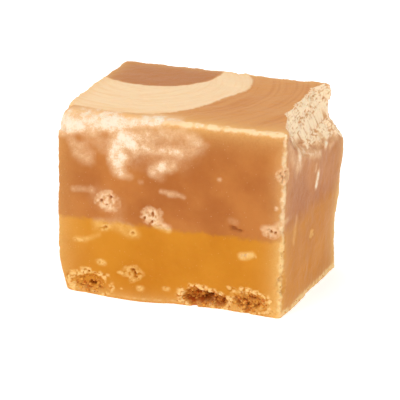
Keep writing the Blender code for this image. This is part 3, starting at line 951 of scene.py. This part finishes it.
# An empty node group with number inputs, given with their usual values, and number outputs
def newGroup(name, inputs, outputs):
    group = bpy.data.node_groups.new(name, "ShaderNodeTree")
    for socketName, value in inputs.items():
        socket = group.interface.new_socket(socketName, in_out="INPUT", socket_type="NodeSocketFloat")
        socket.default_value = value
    for socketName in outputs:
        group.interface.new_socket(socketName, in_out="OUTPUT", socket_type="NodeSocketFloat")
    given = group.nodes.new("NodeGroupInput")
    out = group.nodes.new("NodeGroupOutput")
    out.location = (2200, 0)
    return group, given.outputs, out.inputs


# Grain of cooked sugar: broad mottling, fine grain and single pale crystals
def sugarGrainGroup():
    given = {"Mottle Per Mm": 0.2, "Grain Per Mm": 4.0, "Crystals": 0.06}
    group, given, out = newGroup("sugarGrain", given, ("Mottle", "Grain", "Crystal", "Height"))
    place = millimetres(group)
    mottle = noise(place, given["Mottle Per Mm"], 5.0, 0.55)
    grain = noise(place, given["Grain Per Mm"], 4.0, 0.65)
    coarse = noise(place, times(given["Grain Per Mm"], 0.3), 3.0)
    cell = addNode(group, "TexVoronoi", {"Vector": place, "Scale": given["Grain Per Mm"]})
    chance = addNode(group, "SeparateColor", {0: cell.outputs["Color"]}).outputs[0]
    chosen = worked("LESS_THAN", chance, given["Crystals"])
    uneven = plus(cell.outputs["Distance"], times(grain, 0.5))
    crystal = times(chosen, eased(uneven, 0.65, 0.3))
    height = plus(plus(times(grain, 0.7), coarse), times(crystal, 0.2))
    mottle = eased(mottle, 0.3, 0.7)
    fill(out, {"Mottle": mottle, "Grain": grain, "Crystal": crystal, "Height": height})
    return group


# Breaks a soft mask up into ragged patches: a step of the mask plus noise
def raggedPatchGroup():
    given = {"Mask": 0.0, "Per Mm": 2.5, "Raggedness": 0.5, "Softness": 0.25}
    group, given, out = newGroup("raggedPatch", given, ("Mask",))
    rough = noise(millimetres(group), given["Per Mm"], 5.0, 0.65)
    shifted = plus(given["Mask"], times(minus(rough, 0.5), given["Raggedness"]))
    low, high = minus(0.5, given["Softness"]), plus(0.5, given["Softness"])
    fill(out, {"Mask": eased(shifted, low, high)})
    return group


# Dry powder: the mask is made uneven by soft clouds and by fine grains
def powderGroup():
    group, given, out = newGroup("powder", {"Mask": 0.0, "Per Mm": 1.0}, ("Mask",))
    place = millimetres(group)
    cloud = eased(noise(place, given["Per Mm"], 6.0, 0.6), 0.3, 0.68, 0.7, 1.25)
    grains = eased(noise(place, times(given["Per Mm"], 5.0), 4.0, 0.7), 0.3, 0.7, 0.8, 1.2)
    covered = times(times(given["Mask"], cloud), grains)
    fill(out, {"Mask": worked("MINIMUM", covered, 1.0)})
    return group


# Share of caramel at a height: a soft step that climbs and blurs on the right side, where the knife
# dragged the golden layer up
def caramelShareGroup():
    given = {
        "Middle": 10.25,
        "Blur": 0.42,
        "Wander": 1.4,
        "Right Rise": 1.2,
        "Right Blur": 1.4,
        "Right Least": 0.22,
    }
    group, given, out = newGroup("caramelShare", given, ("Caramel",))
    place = millimetres(group)
    x, _, z = axes(place)
    onRight = eased(x, 14.0, 14.9)
    wander = times(minus(noise(place, 0.9, 5.0, 0.6), 0.5), given["Wander"])
    border = plus(plus(given["Middle"], wander), times(onRight, given["Right Rise"]))
    blur = plus(given["Blur"], times(onRight, given["Right Blur"]))
    share = eased(z, minus(border, blur), plus(border, blur))
    fill(out, {"Caramel": worked("MAXIMUM", share, times(onRight, given["Right Least"]))})
    return group


def useGroup(tree, kind, **values):
    named = {key.replace("_", " "): value for key, value in values.items()}
    return addNode(tree, "Group", named, node_tree=groups[kind]).outputs


def newMaterial(name, values):
    material = bpy.data.materials.new(name)
    material.use_nodes = True
    shader = material.node_tree.nodes["Principled BSDF"]
    fill(shader.inputs, values)
    return material, material.node_tree, shader


# Gives a shader its colour and roughness, and a bump of the given height in millimetres
def dress(shader, color, roughness, grain, height):
    inputs = {"Height": grain, "Strength": 1.0, "Distance": height * mm}
    bump = addNode(shader.id_data, "Bump", inputs).outputs[0]
    fill(shader.inputs, {"Base Color": color, "Roughness": roughness, "Normal": bump})


# Colours of the top: tan with fine streaks along arcs, darker inside the inner arc, and cream where
# its mask is above zero
def swirled(tree, body):
    outerX, outerY = swirl["outerCentre"]
    fromOuter = millimetres(tree, (outerX, outerY + block["setBack"], 0.0), (1.0, 1.0, 0.0))
    x, y, _ = axes(fromOuter)
    radius = addNode(tree, "VectorMath", {0: fromOuter}, operation="LENGTH").outputs["Value"]
    turn = times(worked("ARCTAN2", y, x), swirl["outerRadius"] / swirl["streakLength"])
    across = worked("DIVIDE", radius, swirl["streakWidth"])
    polar = addNode(tree, "CombineXYZ", {0: across, 1: turn}).outputs[0]
    streak = noise(polar, 1.0, 5.0, 0.6)

    place = millimetres(tree)
    onTop = eased(axes(place)[2], block["height"] - 0.9, block["height"] - 0.35)
    wobble = times(plus(minus(noise(place, 2.2, 4.0), 0.5), minus(streak, 0.5)), 0.4)
    tan = mixed(eased(streak, 0.42, 0.7), topLayer["body"], topLayer["streak"])
    color = mixed(times(onTop, 0.85), body, tan)
    inner = eased(plus(attribute(tree, "inner"), wobble), -0.1, 0.5)
    color = mixed(inner, color, topLayer["inner"])
    cream = mixed(eased(streak, 0.4, 0.75), topLayer["cream"], topLayer["creamShade"])
    return mixed(eased(plus(attribute(tree, "cream"), wobble), -0.2, 0.25), color, cream)


# Fudge from inside out: mottled body, painted glow at edges, crystals, pale rims, bloom, dry crumbs and
# pores darkened by painted shade. Both layers read the same groups, so that they blend where they meet.
def layerMaterial(name, withSwirl):
    material, tree, shader = newMaterial(name, finish["fudge"])
    grain = useGroup(tree, "grain", Mottle_Per_Mm=0.16, Grain_Per_Mm=4.5, Crystals=0.05)
    share = useGroup(tree, "share", Middle=block["middle"])["Caramel"]
    mask = {key: attribute(tree, key) for key in ("glow", "rim", "dust", "crumb", "sink", "bloom")}
    unevenGrain = minus(grain["Grain"], 0.5)

    def layered(kind):
        return mixed(share, *layerColors[kind])

    color = mixed(grain["Mottle"], layered("dark"), layered("light"))
    if withSwirl:
        color = swirled(tree, color)
    # Painted glow: the edges lighter, as if light came through the fudge
    color = mixed(times(mask["glow"], plus(unevenGrain, 0.95), clamp=True), color, layered("glow"))
    color = mixed(times(grain["Crystal"], 0.22), color, layered("rim"))

    rim = useGroup(tree, "patch", Mask=mask["rim"], Per_Mm=2.4, Raggedness=0.8, Softness=0.42)["Mask"]
    color = mixed(times(rim, 0.8), color, layered("rim"))
    bloomy = useGroup(tree, "powder", Mask=mask["bloom"], Per_Mm=1.1)["Mask"]
    color = mixed(times(bloomy, 1.4, clamp=True), color, layered("haze"))
    color = mixed(eased(bloomy, 0.4, 1.0), color, bloomColor)
    dusty = useGroup(tree, "patch", Mask=mask["dust"], Per_Mm=2.6, Raggedness=0.5, Softness=0.45)["Mask"]
    nodule = plus(mask["crumb"], times(unevenGrain, 0.7))
    color = mixed(times(dusty, 0.8), color, layered("crack"))
    dry = mixed(eased(mask["dust"], 0.45, 1.0), layered("haze"), layered("dust"))
    color = mixed(times(dusty, eased(nodule, 0.05, 0.8)), color, dry)
    # Painted shade: pores and hollows darken towards the pit colour by their depth
    paintedShade = eased(plus(mask["sink"], unevenGrain), 0.35, 1.8, 0.0, 0.84)
    color = mixed(paintedShade, color, layered("hollowShade"))

    dryness = worked("MAXIMUM", worked("MAXIMUM", bloomy, dusty), rim)
    roughness = eased(dryness, 0.0, 1.0, finish["roughness"], finish["dryRoughness"])
    roughness = plus(roughness, times(unevenGrain, 0.3), clamp=True)
    height = times(grain["Height"], eased(dryness, 0.0, 1.0, 1.0, 1.8))
    dress(shader, color, roughness, height, finish["grainHeight"])
    return material


# Crumbs: each has its own tone between two colours, with the layers' grain
def crumbMaterial(name, dark, light):
    material, tree, shader = newMaterial(name, {**finish["fudge"], "Subsurface Weight": 0.0})
    grain = useGroup(tree, "grain", Mottle_Per_Mm=2.0, Grain_Per_Mm=5.0, Crystals=0.15)
    tone = plus(attribute(tree, "tone"), minus(grain["Mottle"], 0.5), clamp=True)
    color = mixed(times(grain["Crystal"], 0.3), mixed(tone, dark, light), bloomColor)
    roughness = plus(times(grain["Grain"], 0.3), finish["roughness"])
    dress(shader, color, roughness, grain["Height"], finish["crumbGrainHeight"])
    return material


groups = {
    "grain": sugarGrainGroup(),
    "patch": raggedPatchGroup(),
    "powder": powderGroup(),
    "share": caramelShareGroup(),
}

goldenLayer = makeLayer("goldenLayer", False, layerMaterial("goldenFudge", False))
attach(goldenLayer, "root")
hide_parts("base_layer")

caramelLayer = makeLayer("caramelLayer", True, layerMaterial("caramelFudge", True))
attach(caramelLayer, "root")
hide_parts("caramel_layer")


# Where each lot of crumbs lies: a weight for each point from its place and masks
def onChip(places, mask):
    leastX, leastZ = crumbs["chipFrom"]
    there = (mask["dust"] > 0.8) * (places[:, 0] > leastX) * (places[:, 2] > leastZ)
    return there * (0.15 + mask["crumb"])


def onRims(places, mask):
    dry = np.clip(np.maximum(mask["rim"] - 0.45, mask["dust"] - 0.4), 0, 1)
    offBorder = np.abs(places[:, 2] - block["middle"]) > 0.3
    return dry * (mask["sink"] < 0.8) * (places[:, 2] > 0.12) * offBorder


def inFootHollows(places, mask):
    return (mask["sink"] > 0.25) * (places[:, 2] < crumbs["footHeight"]) * (places[:, 2] > 0.15)


paleCrumbs = makeCrumbs(
    "paleCrumbs",
    [crumbsOn(caramelLayer, onChip, crumbs["chip"]), crumbsOn(caramelLayer, onRims, crumbs["paleRim"])],
    crumbMaterial("paleCrumb", *crumbs["paleColors"]),
)
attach(paleCrumbs, "root")

goldenCrumbs = makeCrumbs(
    "goldenCrumbs",
    [
        crumbsOn(goldenLayer, inFootHollows, crumbs["foot"]),
        crumbsOn(goldenLayer, onRims, crumbs["goldenRim"]),
    ],
    crumbMaterial("goldenCrumb", *crumbs["goldenColors"]),
)
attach(goldenCrumbs, "root")

# The studio: a pale floor, an even white surround, and one large soft light from above
studio = {
    "floorHalf": 900.0,
    "floor": {
        "Base Color": (0.85, 0.85, 0.85, 1.0),
        "Roughness": 0.9,
        "Specular IOR Level": 0.1,
        "Emission Color": (1.0, 1.0, 1.0, 1.0),
        "Emission Strength": 0.46,
    },
    "surround": {"Color": (1.0, 1.0, 1.0, 1.0), "Strength": 0.83},
    "lightPlace": (-150.0, -330.0, 560.0),
    "lightAim": (0.0, 0.0, 12.0),
    "lightSize": 320.0,
    "lightPower": 1.4,
    "cameraPlace": (86.75, -271.8, 106.4),
    "lookAt": (-0.3, 0.0, 10.6),
    "roll": 1.12,  # degrees
    "lens": 204.1,
}


def makeFloor():
    corners = studio["floorHalf"] * np.array([(-1, -1, 0), (1, -1, 0), (1, 1, 0), (-1, 1, 0)])
    material = newMaterial("paleFloor", studio["floor"])[0]
    return newPiece("floor", corners, [np.array([[0, 1, 2, 3]])], {}, material)


# Turns an object to look from its place at a point, both in millimetres
def aim(thing, place, target, roll=0.0):
    place = mathutils.Vector(place)
    turned = (place - mathutils.Vector(target)).to_track_quat("Z", "Y").to_matrix()
    turned = turned @ mathutils.Matrix.Rotation(np.radians(roll), 3, "Z")
    thing.matrix_world = mathutils.Matrix.Translation(place * mm) @ turned.to_4x4()


makeFloor()
world = bpy.data.worlds.new("surround")
world.use_nodes = True
fill(world.node_tree.nodes["Background"].inputs, studio["surround"])
scene = bpy.context.scene
scene.world = world

light = bpy.data.lights.new("softLight", "AREA")
light.shape = "DISK"
light.size = studio["lightSize"] * mm
light.energy = studio["lightPower"]
aim(newObject("softLight", light), studio["lightPlace"], studio["lightAim"])

lens = bpy.data.cameras.new("camera")
lens.sensor_width = 36.0
lens.lens = studio["lens"]
lens.clip_start = 0.01
camera = newObject("camera", lens)
aim(camera, studio["cameraPlace"], studio["lookAt"], studio["roll"])
scene.camera = camera
scene.view_settings.view_transform = "Standard"
scene.cycles.use_denoising = True
print("Studio ready")
